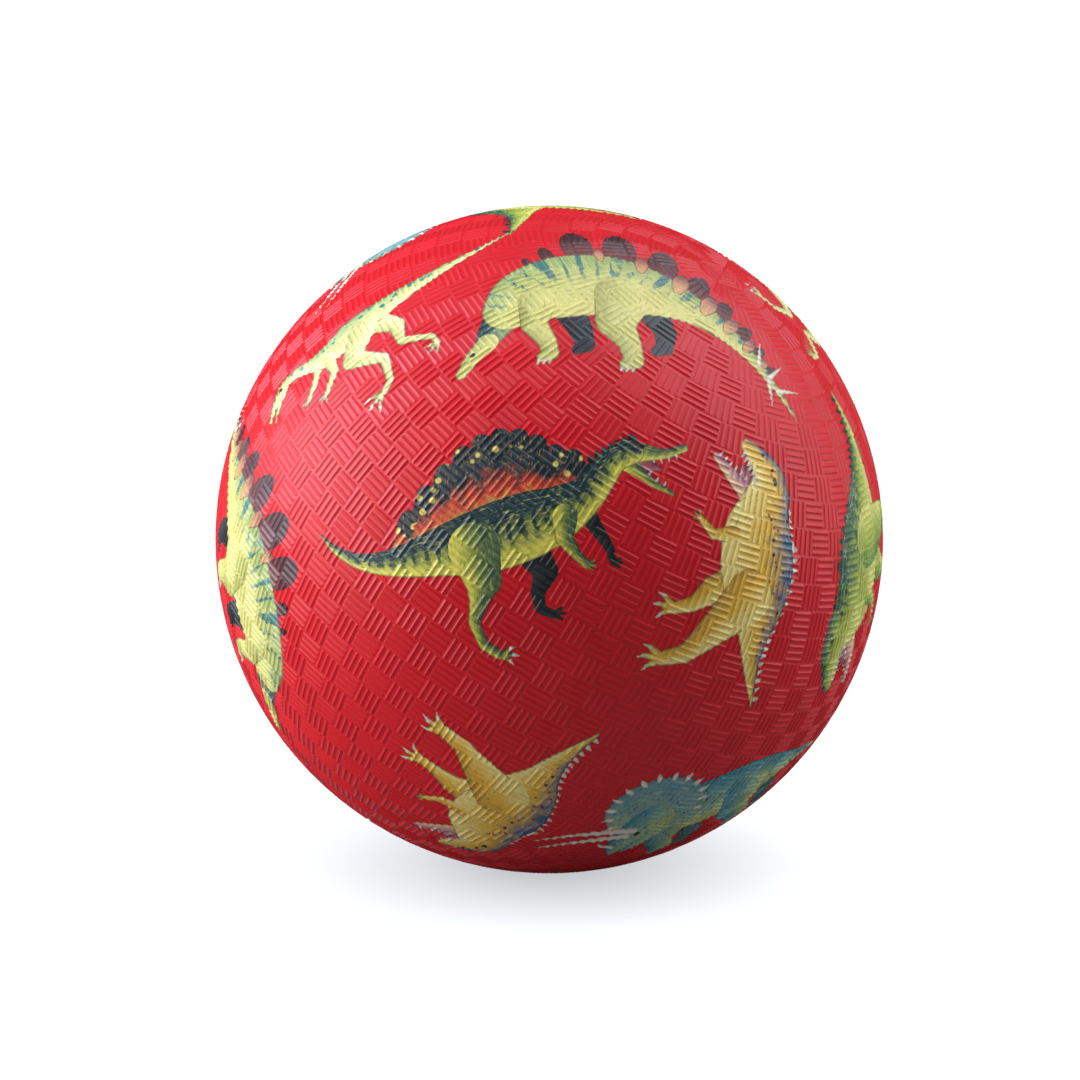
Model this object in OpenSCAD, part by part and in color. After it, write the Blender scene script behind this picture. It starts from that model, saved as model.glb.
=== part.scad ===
// Playground ball: a moulded rubber cover over a thread-wound carcass and an
// airtight bladder, with a self-sealing needle valve through the wall.
// Millimetres, +Z up. The origin is the ball's centre; the valve looks along +Y.

/* [Ball] */
// Diameter over the tops of the cover's moulded ribs
ball_d = 178; // [120:1:260]
// Height of the ribs over the smooth ground between them
rib_h = 0.3; // [0.1:0.05:0.6]

/* [Wall] */
// Thickness of the cover, from its inner face to the rib tops
cover_t = 1.4; // [0.9:0.1:3]
// Thickness of the wound nylon layer
winding_t = 0.35; // [0.2:0.05:1]
// Thickness of the bladder
bladder_t = 0.7; // [0.5:0.1:2]
// Gap left between faces that are vulcanised together
bond_gap = 0; // [0:0.005:0.03]

/* [Valve housing] */
// Diameter of the smooth round pad moulded around the valve
pad_d = 24; // [16:1:40]
// Diameter of the neck and stem of the valve housing
stem_d = 9; // [8:0.5:14]
// Length of the stem below the flange
stem_l = 14; // [9:0.5:24]
// Chamfer on the inner end of the stem
stem_chamfer = 0.8; // [0.2:0.1:1]
// Diameter of the flange that is bonded to the patch
flange_d = 26; // [18:1:40]
// Thickness of the flange
flange_t = 1; // [0.6:0.1:2]
// Diameter of the reinforcing patch on the bladder
patch_d = 38; // [24:1:60]
// Thickness of the patch
patch_t = 0.5; // [0.3:0.1:1.2]

/* [Valve insert] */
// Diameter of the plug's head
head_d = 6.6; // [6:0.1:7.4]
// Depth of the head below the outside of the ball
head_t = 1.8; // [1:0.1:3]
// Diameter of the plug's body
plug_d = 5; // [4:0.1:5.6]
// How far the plug's round tip stands out of the stem
tip_l = 2.5; // [2.5:0.1:5]
// Diameter of the guide hole for the pump needle
guide_d = 2.2; // [1.8:0.05:2.8]
// Depth of the guide hole below its lead-in
guide_l = 5; // [3:0.5:8]
// Diameter of the lead-in cone at its mouth
funnel_d = 3.4; // [3:0.1:4.4]
// Depth of the lead-in cone
funnel_l = 0.6; // [0.3:0.1:1]

/* [Hidden] */

SPHERE_FN = 128;
ROUND_FN = 64;
// Overrun of a cut past the face that it opens
OVER = 1;

// Radii of the faces from the outside in
ball_r = ball_d / 2;
ground_r = ball_r - rib_h;
cover_in_r = ball_r - cover_t;
winding_out_r = cover_in_r - bond_gap;
winding_in_r = winding_out_r - winding_t;
bladder_out_r = winding_in_r - bond_gap;
bladder_in_r = bladder_out_r - bladder_t;
patch_out_r = bladder_in_r - bond_gap;
patch_in_r = patch_out_r - patch_t;
flange_out_r = patch_in_r - bond_gap;
flange_in_r = flange_out_r - flange_t;

// Radii about the valve's axis
stem_r = stem_d / 2;
wall_hole_r = stem_r + bond_gap;
plug_r = plug_d / 2;
head_r = head_d / 2;

// Heights along the valve's axis, from the ball's centre
stem_end = flange_in_r - stem_l;
head_seat = ball_r - head_t;
guide_mouth = ball_r - funnel_l;
guide_end = guide_mouth - guide_l;

// Turns the local +Z axis to the valve's axis, +Y
module on_valve_axis() {
    rotate([-90, 0, 0]) children();
}

// Hollow ball between two radii
module shell(outer_r, inner_r) {
    difference() {
        sphere(r = outer_r, $fn = SPHERE_FN);
        sphere(r = inner_r, $fn = SPHERE_FN);
    }
}

// Round pillar about the valve's axis, from the ball's centre to past its outside
module valve_pillar(radius) {
    cylinder(r = radius, h = ball_r + OVER, $fn = ROUND_FN);
}

// Round piece of a hollow ball, cut out around the valve's axis
module shell_disc(outer_r, inner_r, disc_r) {
    intersection() {
        shell(outer_r, inner_r);
        valve_pillar(disc_r);
    }
}

// Outer skin. Its outside is the envelope over the ribs, and the pad around the
// valve lies at the level of the ground between them.
module cover() {
    color("#C8202F") on_valve_axis() difference() {
        shell(ball_r, cover_in_r);
        valve_pillar(wall_hole_r);
        shell_disc(ball_r + OVER, ground_r, pad_d / 2);
    }
}

// Nylon thread wound over the bladder, as one layer of even thickness
module winding() {
    color("#E6E0D2") on_valve_axis() difference() {
        shell(winding_out_r, winding_in_r);
        valve_pillar(wall_hole_r);
    }
}

// Airtight inner skin
module bladder() {
    color("#2B2B2E") on_valve_axis() difference() {
        shell(bladder_out_r, bladder_in_r);
        valve_pillar(wall_hole_r);
    }
}

// Reinforcing ring between the bladder and the valve's flange
module valve_patch() {
    color("#A98F62") on_valve_axis() difference() {
        shell_disc(patch_out_r, patch_in_r, patch_d / 2);
        valve_pillar(wall_hole_r);
    }
}

// Stem with a chamfered inner end, drawn past the outside of the ball
module stem() {
    rotate_extrude($fn = ROUND_FN) polygon([
        [0, stem_end],
        [stem_r - stem_chamfer, stem_end],
        [stem_r, stem_end + stem_chamfer],
        [stem_r, ball_r + OVER],
        [0, ball_r + OVER],
    ]);
}

// Seat for the insert: the body's bore and the wider recess for its head
module insert_seat() {
    translate([0, 0, stem_end - OVER])
        cylinder(r = plug_r + bond_gap, h = ball_r, $fn = ROUND_FN);
    translate([0, 0, head_seat])
        cylinder(r = head_r + bond_gap, h = head_t + OVER, $fn = ROUND_FN);
}

// Flange, neck and stem in one piece, level with the rib tops outside
module valve_housing() {
    color("#1E1E20") on_valve_axis() difference() {
        union() {
            intersection() {
                stem();
                sphere(r = ball_r, $fn = SPHERE_FN);
            }
            shell_disc(flange_out_r, flange_in_r, flange_d / 2);
        }
        insert_seat();
    }
}

// Plug with a head, a body and a round tip, before the needle's guide is cut
module plug_blank() {
    body_end = stem_end - tip_l + plug_r;
    translate([0, 0, body_end]) sphere(r = plug_r, $fn = ROUND_FN);
    translate([0, 0, body_end]) cylinder(r = plug_r, h = head_seat - body_end, $fn = ROUND_FN);
    intersection() {
        translate([0, 0, head_seat + bond_gap])
            cylinder(r = head_r, h = head_t + OVER, $fn = ROUND_FN);
        sphere(r = ball_r, $fn = SPHERE_FN);
    }
}

// Hole that leads the needle into the plug. Below it the plug is slit, and the
// slit is shut while no needle is in it.
module needle_guide() {
    translate([0, 0, guide_end])
        cylinder(r = guide_d / 2, h = guide_l + funnel_l + OVER, $fn = ROUND_FN);
    translate([0, 0, guide_mouth])
        cylinder(r1 = guide_d / 2, r2 = funnel_d / 2, h = funnel_l, $fn = ROUND_FN);
}

// Self-sealing plug
module valve_insert() {
    color("#C9C2B0") on_valve_axis() difference() {
        plug_blank();
        needle_guide();
    }
}

cover();
winding();
bladder();
valve_patch();
valve_housing();
valve_insert();
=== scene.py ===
"""Playground ball: a moulded rubber cover with printed figures, its valve and its inner layers.

Lengths are metres in the CAD frame, unless a name ends in _mm. The origin is the ball's centre,
+Z is up and the valve looks along +Y.
"""

import logging
import math
from collections.abc import Sequence
from dataclasses import dataclass, field, replace
from enum import Enum
from functools import cached_property
from typing import Any

import bpy
import numpy as np
from mathutils import Matrix, Vector


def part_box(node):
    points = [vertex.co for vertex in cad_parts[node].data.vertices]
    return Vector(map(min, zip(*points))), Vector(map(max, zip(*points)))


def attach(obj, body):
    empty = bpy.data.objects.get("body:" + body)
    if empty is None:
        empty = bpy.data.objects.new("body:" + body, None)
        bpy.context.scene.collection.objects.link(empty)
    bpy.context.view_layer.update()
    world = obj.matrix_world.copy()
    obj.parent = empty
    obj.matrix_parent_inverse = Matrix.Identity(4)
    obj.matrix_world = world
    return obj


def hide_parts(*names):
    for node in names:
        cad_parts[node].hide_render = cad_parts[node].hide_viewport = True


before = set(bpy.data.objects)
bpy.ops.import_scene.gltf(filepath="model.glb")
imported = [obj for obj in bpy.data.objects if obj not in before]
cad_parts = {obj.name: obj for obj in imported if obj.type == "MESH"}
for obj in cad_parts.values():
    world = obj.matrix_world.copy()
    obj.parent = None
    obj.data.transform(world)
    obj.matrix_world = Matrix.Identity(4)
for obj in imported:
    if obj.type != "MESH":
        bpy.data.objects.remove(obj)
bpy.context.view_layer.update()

MM = 0.001
BODY = "root"
BAKE_MAP = "OFBake"
# Edges that bend more than this stay sharp
CREASE = math.radians(62)
# Half-width of a sharp end, in millimetres of a figure
SHARP = 0.15
RUBBER_IOR = 1.5
log = logging.getLogger("ball")


# Small tools -----------------------------


def linear(hex_colour: str) -> tuple[float, float, float, float]:
    """Turn an sRGB hex colour into linear RGBA.

    Args:
        hex_colour: Colour such as "#C8202F".

    Returns:
        Red, green, blue and an alpha of 1, in linear light.
    """
    values = [int(hex_colour[i : i + 2], 16) / 255 for i in (1, 3, 5)]
    return (*[v / 12.92 if v <= 0.04045 else ((v + 0.055) / 1.055) ** 2.4 for v in values], 1.0)


def fill_inputs(shader: bpy.types.Node, inputs: dict[str | int, Any]) -> None:
    """Set a node's inputs.

    Args:
        shader: The node.
        inputs: By input name or number, a value, an output socket, or a node for its first output.
    """
    for key, value in inputs.items():
        if isinstance(value, bpy.types.Node):
            value = value.outputs[0]
        if isinstance(value, bpy.types.NodeSocket):
            shader.id_data.links.new(value, shader.inputs[key])
        else:
            shader.inputs[key].default_value = value


def node(
    tree: bpy.types.NodeTree, kind: str, inputs: dict[str | int, Any] | None = None, **settings: Any
) -> bpy.types.Node:
    """Add a node with its settings, its input values and the links into it.

    Args:
        tree: Tree that gets the node.
        kind: Node type without its "ShaderNode" prefix.
        inputs: Its inputs, as fill_inputs takes them.
        settings: Properties of the node.

    Returns:
        The new node.
    """
    made = tree.nodes.new("ShaderNode" + kind)
    for name, value in settings.items():
        setattr(made, name, value)
    fill_inputs(made, inputs or {})
    return made


def new_material(name: str) -> tuple[bpy.types.Material, bpy.types.NodeTree, bpy.types.Node]:
    """Make a material, and return it with its tree and its main shader."""
    material = bpy.data.materials.new(name)
    material.use_nodes = True
    return material, material.node_tree, material.node_tree.nodes["Principled BSDF"]


def add_object(name: str, data: bpy.types.ID) -> bpy.types.Object:
    """Make an object and link it to the scene."""
    made = bpy.data.objects.new(name, data)
    bpy.context.scene.collection.objects.link(made)
    return made


def direction(azimuth_deg: float, elevation_deg: float) -> Vector:
    """Unit vector from the ball's centre: azimuth 0 is -Y and 90 is +X."""
    turn, rise = math.radians(azimuth_deg), math.radians(elevation_deg)
    return Vector((math.sin(turn) * math.cos(rise), -math.cos(turn) * math.cos(rise), math.sin(rise)))


def aimed(position: Vector, target: Vector) -> Matrix:
    """World matrix of a lamp or camera at position that looks at target."""
    turned = (target - position).to_track_quat("-Z", "Y").to_matrix().to_4x4()
    return Matrix.Translation(position) @ turned


def make_mesh(name: str, points: np.ndarray, *face_groups: np.ndarray) -> bpy.types.Mesh:
    """Make a smooth mesh from arrays.

    Args:
        name: Name of the mesh.
        points: Vertex places, (n, 3).
        face_groups: Vertex numbers of faces, (m, 3) or (m, 4).

    Returns:
        The new mesh.
    """
    mesh = bpy.data.meshes.new(name)
    corners = np.concatenate([g.ravel() for g in face_groups]).astype(np.int32)
    sizes = np.concatenate([np.full(len(g), g.shape[1]) for g in face_groups])
    starts = (np.cumsum(sizes) - sizes).astype(np.int32)
    mesh.vertices.add(len(points))
    mesh.vertices.foreach_set("co", points.astype(np.float32).ravel())
    mesh.loops.add(len(corners))
    mesh.loops.foreach_set("vertex_index", corners)
    mesh.polygons.add(len(sizes))
    mesh.polygons.foreach_set("loop_start", starts)
    mesh.update(calc_edges=True)
    mesh.polygons.foreach_set("use_smooth", np.ones(len(sizes), bool))
    return mesh


def corner_vertices(mesh: bpy.types.Mesh) -> np.ndarray:
    """Vertex number of each face corner."""
    corner = np.zeros(len(mesh.loops), np.int32)
    mesh.loops.foreach_get("vertex_index", corner)
    return corner


def write_map(mesh: bpy.types.Mesh, uv: np.ndarray) -> None:
    """Give a mesh its flat map, one place for each face corner."""
    layer = mesh.uv_layers.new(name=BAKE_MAP)
    layer.uv.foreach_set("vector", uv.astype(np.float32).ravel())


def apply_modifiers(piece: bpy.types.Object) -> None:
    """Turn a piece's modifiers into its mesh."""
    graph = bpy.context.evaluated_depsgraph_get()
    mesh = bpy.data.meshes.new_from_object(piece.evaluated_get(graph))
    piece.modifiers.clear()
    piece.data = mesh


def place_piece(name: str, mesh: bpy.types.Mesh, stands_for: str) -> bpy.types.Object:
    """Link a mesh as a piece that rides on the ball.

    Args:
        name: Name of the piece.
        mesh: Its mesh, in the CAD frame.
        stands_for: CAD node that it stands for.

    Returns:
        The new object.
    """
    piece = add_object(name, mesh)
    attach(piece, BODY)
    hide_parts(stands_for)
    log.info("%s: %d faces", name, len(mesh.polygons))
    return piece


def zip_lines(right: np.ndarray, right_at: np.ndarray, left: np.ndarray, left_at: np.ndarray) -> np.ndarray:
    """Fill the strip between two lines of vertices with triangles.

    Args:
        right: Vertex numbers of the line on the right hand, seen along it from outside.
        right_at: Their rising places along the strip.
        left: Vertex numbers of the line on the left hand.
        left_at: Their rising places along the strip.

    Returns:
        Triangles, (n, 3), facing outside.
    """
    reach_left = np.clip(np.searchsorted(left_at, right_at[1:], "right") - 1, 0, len(left) - 1)
    reach_right = np.clip(np.searchsorted(right_at, left_at[1:], "left") - 1, 0, len(right) - 1)
    along_right = np.stack([right[:-1], right[1:], left[reach_left]], 1)
    along_left = np.stack([right[reach_right], left[1:], left[:-1]], 1)
    return np.concatenate([along_right, along_left])


def grid_quads(rows: int, columns: int) -> np.ndarray:
    """Quads of a grid whose vertex number is row * columns + column.

    Args:
        rows: Number of vertices eastward.
        columns: Number of vertices northward.

    Returns:
        Quads, (n, 4), facing outside.
    """
    east, north = np.meshgrid(np.arange(rows - 1), np.arange(columns - 1), indexing="ij")
    corner = (east * columns + north).ravel()
    return np.stack([corner, corner + columns, corner + columns + 1, corner + 1], 1)


# Finishes --------------------------------


@dataclass(frozen=True)
class MouldedRubber:
    """Vulcanised rubber out of a metal mould: satin, with a fine grain and slight cloudiness."""

    name: str
    colour: str
    deep_colour: str
    roughness: float = 0.42
    cloud_mm: float = 14.0
    # The real grain is about 0.05 mm; it is drawn at 0.35 mm, the finest that shows in a render.
    grain_mm: float = 0.35
    grain_depth_mm: float = 0.012
    roughness_spread: float = 0.06
    specular: float = 0.5

    def build(self) -> bpy.types.Material:
        """Make the material."""
        material, tree, shader = new_material(self.name)
        place = node(tree, "TexCoord").outputs["Object"]
        cloud_scale, grain_scale = 1 / (self.cloud_mm * MM), 1 / (self.grain_mm * MM)
        cloud = node(tree, "TexNoise", {"Vector": place, "Scale": cloud_scale, "Detail": 3.0})
        grain = node(tree, "TexNoise", {"Vector": place, "Scale": grain_scale, "Detail": 2.0})
        blend = node(tree, "MapRange", {"Value": cloud, "From Min": 0.3, "From Max": 0.7})
        layers = {0: blend, 6: linear(self.deep_colour), 7: linear(self.colour)}
        tint = node(tree, "Mix", layers, data_type="RGBA")
        low, high = self.roughness - self.roughness_spread, self.roughness + self.roughness_spread
        gloss = node(tree, "MapRange", {"Value": grain, "To Min": low, "To Max": high})
        depth = self.grain_depth_mm * MM
        bump = node(tree, "Bump", {"Height": grain, "Distance": depth, "Strength": 1.0})
        found = {"Base Color": tint.outputs[2], "Roughness": gloss, "Normal": bump}
        fill_inputs(shader, found | {"IOR": RUBBER_IOR, "Specular IOR Level": self.specular})
        return material


@dataclass(frozen=True)
class WoundNylon:
    """Nylon thread wound round and round in rubber cement: crossing glossy threads."""

    name: str
    colour: str
    shadow_colour: str
    # Real thread is about 0.3 mm across; two threads are drawn as one, so that they show.
    thread_mm: float = 0.6
    # Scale of the wave texture that makes one wave as wide as a thread
    waves_per_thread: float = 0.314
    roughness: float = 0.35
    ior: float = 1.53

    def build(self) -> bpy.types.Material:
        """Make the material."""
        material, tree, shader = new_material(self.name)
        place = node(tree, "TexCoord").outputs["Object"]
        waves = {"Scale": self.waves_per_thread / (self.thread_mm * MM), "Distortion": 1.5}
        waves |= {"Detail": 1.0, "Detail Scale": 0.02}
        laid = []
        for turn in ((0.0, 0.5, 0.3), (0.9, -0.4, 1.2), (-0.6, 1.1, 2.2)):
            turned = {"Vector": place, "Rotation": turn}
            way = node(tree, "Mapping", turned, vector_type="TEXTURE")
            threads = node(tree, "TexWave", {"Vector": way} | waves, bands_direction="Z")
            laid.append(threads.outputs["Fac"])
        upper = node(tree, "Math", {0: laid[0], 1: laid[1]}, operation="MAXIMUM")
        height = node(tree, "Math", {0: upper, 1: laid[2]}, operation="MAXIMUM")
        layers = {0: height, 6: linear(self.shadow_colour), 7: linear(self.colour)}
        tint = node(tree, "Mix", layers, data_type="RGBA")
        bump = node(tree, "Bump", {"Height": height, "Distance": 0.1 * MM})
        found = {"Base Color": tint.outputs[2], "Normal": bump}
        fill_inputs(shader, found | {"IOR": self.ior, "Roughness": self.roughness})
        return material


COVER_RUBBER = MouldedRubber("moulded_red_rubber", "#DA1D27", "#D01923", roughness=0.38, specular=0.32)
BLADDER_RUBBER = MouldedRubber("dipped_black_butyl", "#2B2B2E", "#202022", roughness=0.5, grain_mm=0.8)
PATCH_RUBBER = MouldedRubber("calendered_gum_rubber", "#A98F62", "#95794C", roughness=0.6)
HOUSING_RUBBER = MouldedRubber("moulded_black_rubber", "#1E1E20", "#151517", roughness=0.38, cloud_mm=4.0)
INSERT_RUBBER = MouldedRubber("moulded_buff_rubber", "#C9C2B0", "#B7AE98", roughness=0.45, cloud_mm=2.5)
WINDING_NYLON = WoundNylon("wound_nylon_thread", "#EAE5D8", "#9A927F")


# The cover -------------------------------


class Half(Enum):
    """Which half of the mould, by the sign of its latitudes."""

    UPPER = 1
    LOWER = -1


class Line(Enum):
    """A border line of a square patch of ribs."""

    WEST = 0
    EAST = 1
    SOUTH = 2
    NORTH = 3


@dataclass(frozen=True)
class Patch:
    """One square of four ribs, as a small grid of vertices."""

    # Places eastward and northward as shares of the square, and rib heights as shares of the full one
    east: np.ndarray
    north: np.ndarray
    height: np.ndarray

    @property
    def count(self) -> int:
        """Number of vertices."""
        return len(self.east) * len(self.north)

    def border(self, line: Line) -> tuple[np.ndarray, np.ndarray]:
        """Vertex numbers on one border line, and their places along it."""
        numbers = np.arange(self.count).reshape(len(self.east), len(self.north))
        if line in (Line.WEST, Line.EAST):
            return numbers[0 if line is Line.WEST else -1], self.north
        return numbers[:, 0 if line is Line.SOUTH else -1], self.east


@dataclass
class Cover:
    """Outer skin, moulded in two halves that meet on the parting line, with a smooth valve pad."""

    # Radii over the rib tops and inside the skin, from the CAD node
    rib_top: float
    inside: float
    rib_height: float = 0.3 * MM
    rib_half_width: float = 0.46 * MM
    rib_pitch: float = 1.75 * MM
    # Length of a rib's sloping end, as a share of its half width
    slope_share: float = 0.6
    ribs_per_square: int = 4
    square_gap: float = 0.5 * MM
    bands_per_half: int = 20
    squares_on_parting_line: int = 76
    # Rows next to the parting line with the same number of squares
    even_bands: int = 5
    # The mould's poles are tilted from +Z towards +X, and the squares line up on one meridian
    pole_tilt_deg: float = 33.0
    first_meridian_deg: float = -77.5
    parting_vertices: int = 380
    inner_vertices: int = 96
    pad_radius: float = 12.0 * MM
    neck_radius: float = 4.5 * MM
    # Outer triangles as printed on: places and normals of their corners, (n, 3, 6)
    skin: np.ndarray = field(default_factory=lambda: np.zeros((0, 3, 6)))

    @property
    def ground(self) -> float:
        """Radius of the smooth ground between the ribs."""
        return self.rib_top - self.rib_height

    @property
    def band_angle(self) -> float:
        """Latitude taken up by one row of squares."""
        return math.pi / 2 / self.bands_per_half

    def patches(self) -> tuple[Patch, Patch]:
        """Make the two kinds of square.

        Returns:
            The square whose ribs run north, and the one whose ribs run east.
        """
        side = self.ribs_per_square * self.rib_pitch
        centres = (np.arange(self.ribs_per_square) - (self.ribs_per_square - 1) / 2) * self.rib_pitch
        steps = np.array([-1.0, -0.5, 0.0, 0.5, 1.0])
        across = 0.5 + (centres[:, None] + steps * self.rib_half_width).ravel() / side
        rise = np.tile(1 - steps**2, self.ribs_per_square)
        tip = self.square_gap / 2 / side
        shoulder = tip + self.slope_share * self.rib_half_width / side
        along = np.array([tip, shoulder, 1 - shoulder, 1 - tip])
        full = np.array([0.0, 1.0, 1.0, 0.0])
        north_ribs = Patch(across, along, np.outer(rise, full))
        east_ribs = Patch(along, across, np.outer(full, rise))
        return north_ribs, east_ribs

    def squares_in_band(self, band: int) -> int:
        """Number of squares in a row, always even, so that they stay as wide as they are high."""
        latitude = (band + 0.5) * self.band_angle
        if band < self.even_bands:
            return self.squares_on_parting_line
        pairs = (self.squares_on_parting_line + 1) / 2
        return 2 * max(2, round(pairs * math.cos(latitude)))

    def directions(self, longitude: np.ndarray, latitude: np.ndarray) -> np.ndarray:
        """Unit vectors at places on the mould, (n, 3)."""
        tilt = math.radians(self.pole_tilt_deg)
        pole = np.array([math.sin(tilt), 0, math.cos(tilt)])
        first = np.array([math.cos(tilt), 0, -math.sin(tilt)])
        second = np.array([0.0, 1.0, 0.0])
        ring = np.outer(np.cos(longitude), first) + np.outer(np.sin(longitude), second)
        return np.cos(latitude)[:, None] * ring + np.outer(np.sin(latitude), pole)

    def weave(self, half: Half) -> tuple[np.ndarray, np.ndarray, np.ndarray, np.ndarray]:
        """Lay out the ribs of one half, row by row from the parting line to the pole.

        Args:
            half: Which half.

        Returns:
            Places as longitude, latitude and radius, (n, 3); quads; triangles; and the vertex
            numbers of the ring on the parting line.
        """
        north_ribs, east_ribs = self.patches()
        start = math.radians(self.first_meridian_deg)
        turn = 2 * math.pi
        parting_at = np.arange(self.parting_vertices) * turn / self.parting_vertices
        parting = np.arange(self.parting_vertices)
        points = [np.stack([parting_at + start, parting_at * 0, parting_at * 0 + self.ground], 1)]
        quads, triangles = [], []
        ring, ring_at = np.append(parting, 0), np.append(parting_at, turn)
        total = self.parting_vertices
        for band in range(self.bands_per_half):
            count = self.squares_in_band(band)
            width = turn / count
            last_band = band == self.bands_per_half - 1
            shift = band + (half is Half.LOWER)
            kinds = [
                east_ribs if last_band or (square + shift) % 2 else north_ribs
                for square in range(count)
            ]
            starts = total + np.arange(count) * north_ribs.count
            lower, lower_at, upper, upper_at = [], [], [], []
            for square, kind in enumerate(kinds):
                east, north = np.meshgrid(kind.east, kind.north, indexing="ij")
                longitude = start + (square + east) * width
                latitude = (band + north) * self.band_angle
                radius = self.ground + kind.height * self.rib_height
                laid = [part.ravel() for part in (longitude, latitude, radius)]
                points.append(np.stack(laid, 1))
                quads.append(grid_quads(len(kind.east), len(kind.north)) + starts[square])
                following = (square + 1) % count
                west, west_at = kinds[following].border(Line.WEST)
                east_line, east_at = kind.border(Line.EAST)
                after, here = west + starts[following], east_line + starts[square]
                triangles.append(zip_lines(after, west_at, here, east_at))
                borders = ((Line.SOUTH, lower, lower_at), (Line.NORTH, upper, upper_at))
                for line, numbers, places in borders:
                    found, at = kind.border(line)
                    numbers.append(found + starts[square])
                    places.append((square + at) * width)
            south = np.concatenate([*lower, lower[0][:1]])
            south_at = np.concatenate([*lower_at, lower_at[0][:1] + turn])
            triangles.append(zip_lines(ring, ring_at, south, south_at))
            ring = np.concatenate([*upper, upper[0][:1]])
            ring_at = np.concatenate([*upper_at, upper_at[0][:1] + turn])
            total += count * north_ribs.count
        points.append(np.array([[start, math.pi / 2, self.ground]]))
        pole = np.full(len(ring) - 1, total)
        triangles.append(np.stack([ring[:-1], ring[1:], pole], 1))
        return np.concatenate(points), np.concatenate(quads), np.concatenate(triangles), parting

    def lining(self) -> tuple[np.ndarray, np.ndarray, np.ndarray]:
        """Lay out the inner face of a half.

        Returns:
            Places as longitude, latitude and radius; quads; and triangles round the pole.
        """
        rows = self.inner_vertices // 4
        turn = np.arange(self.inner_vertices) * 2 * math.pi / self.inner_vertices
        rise = np.arange(rows) * math.pi / 2 / rows
        east, north = np.meshgrid(turn + math.radians(self.first_meridian_deg), rise, indexing="ij")
        points = np.stack([east.ravel(), north.ravel(), np.full(east.size, self.inside)], 1)
        pole = np.array([[0.0, math.pi / 2, self.inside]])
        closed = grid_quads(self.inner_vertices + 1, rows) % (self.inner_vertices * rows)
        top = np.arange(self.inner_vertices) * rows + rows - 1
        fan = np.stack([top, np.roll(top, -1), np.full(len(top), len(points))], 1)
        return np.concatenate([points, pole]), closed[:, ::-1], fan[:, ::-1]

    def half_mesh(self, half: Half) -> bpy.types.Mesh:
        """Make one half as a closed solid, and keep its outer triangles for the prints.

        Args:
            half: Which half.

        Returns:
            The mesh, before the valve's hole is cut.
        """
        outer, quads, triangles, parting = self.weave(half)
        inner, inner_quads, fan = self.lining()
        offset = len(outer)
        rows = self.inner_vertices // 4
        rim_inner = np.append(np.arange(self.inner_vertices) * rows, 0) + offset
        rim_inner_at = np.arange(self.inner_vertices + 1) / self.inner_vertices
        rim_outer_at = np.arange(self.parting_vertices + 1) / self.parting_vertices
        rim = zip_lines(rim_inner, rim_inner_at, np.append(parting, 0), rim_outer_at)
        places = np.concatenate([outer, inner])
        points = self.directions(places[:, 0], places[:, 1] * half.value) * places[:, 2:]
        groups = [quads, triangles, inner_quads + offset, fan + offset, rim]
        if half is Half.LOWER:
            groups = [g[:, ::-1] for g in groups]
        self.keep_skin(points, groups[0], groups[1])
        return make_mesh(f"cover_{half.name.lower()}_half", points, *groups)

    def keep_skin(self, points: np.ndarray, quads: np.ndarray, triangles: np.ndarray) -> None:
        """Add the outer triangles of a half, with area-weighted normals, to the skin."""
        flat = np.concatenate([quads[:, [0, 1, 2]], quads[:, [0, 2, 3]], triangles])
        corners = points[flat]
        facing = np.cross(corners[:, 1] - corners[:, 0], corners[:, 2] - corners[:, 0])
        normals = np.zeros_like(points)
        for corner in range(3):
            np.add.at(normals, flat[:, corner], facing)
        normals /= np.maximum(np.linalg.norm(normals, axis=1, keepdims=True), 1e-20)
        self.skin = np.concatenate([self.skin, np.concatenate([corners, normals[flat]], 2)])

    def hole_cutter(self) -> bpy.types.Object:
        """Make the round cutter of the valve pad's place."""
        sides = 128
        angle = np.arange(sides) * 2 * math.pi / sides
        ring = np.stack([np.cos(angle), np.zeros(sides), -np.sin(angle)], 1) * self.pad_radius
        under, over = 0.9 * self.inside, 1.1 * self.rib_top
        near, far = ring + [0, under, 0], ring + [0, over, 0]
        low = np.arange(sides)
        walls = np.stack([low, np.roll(low, -1), np.roll(low, -1) + sides, low + sides], 1)
        mesh = make_mesh("valve_cutter", np.concatenate([near, far]), walls)
        mesh.polygons.add(2)
        mesh.loops.add(2 * sides)
        caps = np.concatenate([low[::-1], low + sides])
        loops = corner_vertices(mesh)
        loops[4 * sides :] = caps
        mesh.loops.foreach_set("vertex_index", loops)
        mesh.polygons[sides].loop_start = 4 * sides
        mesh.polygons[sides + 1].loop_start = 5 * sides
        mesh.update(calc_edges=True)
        return add_object("valve_cutter", mesh)

    def finish_half(self, piece: bpy.types.Object, cutter: bpy.types.Object) -> None:
        """Cut the pad's place out of a half, and weight its normals by area so that ribs look crisp."""
        cut = piece.modifiers.new("valve_place", "BOOLEAN")
        cut.solver = "MANIFOLD"
        cut.object = cutter
        cut.operation = "DIFFERENCE"
        apply_modifiers(piece)
        piece.data.set_sharp_from_angle(angle=CREASE)
        weigh = piece.modifiers.new("area_weighted_normals", "WEIGHTED_NORMAL")
        weigh.keep_sharp = True
        weigh.weight = 100
        apply_modifiers(piece)
        piece.data.name = piece.name

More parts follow.
